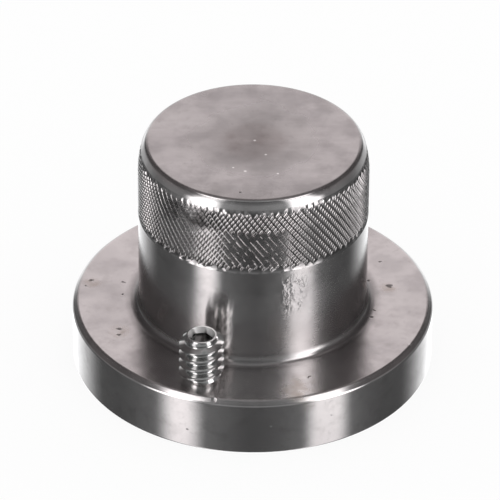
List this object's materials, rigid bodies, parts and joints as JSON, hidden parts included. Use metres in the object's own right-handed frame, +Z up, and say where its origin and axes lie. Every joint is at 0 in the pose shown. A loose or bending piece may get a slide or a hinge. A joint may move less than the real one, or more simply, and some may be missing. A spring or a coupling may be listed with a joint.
{
  "type": "potentiometer knob",
  "caption": "Turned steel control knob with a wide skirt, a diamond-knurled grip and a blind shaft bore; its hex-socket set screw stands loose on the skirt.",
  "frame": {"origin": "on the knob's axis, at the underside of the skirt", "axes": "+Z up along the axis to the top face, +Y towards the set-screw hole"},
  "size_m": [0.0286, 0.0286, 0.0196],
  "materials": {
    "turned_steel": "fine turned, lightly worn",
    "screw_steel": "bright, smooth"
  },
  "bodies": {
    "root": {"knob": "turned_steel", "set_screw": "screw_steel"}
  },
  "joints": []
}
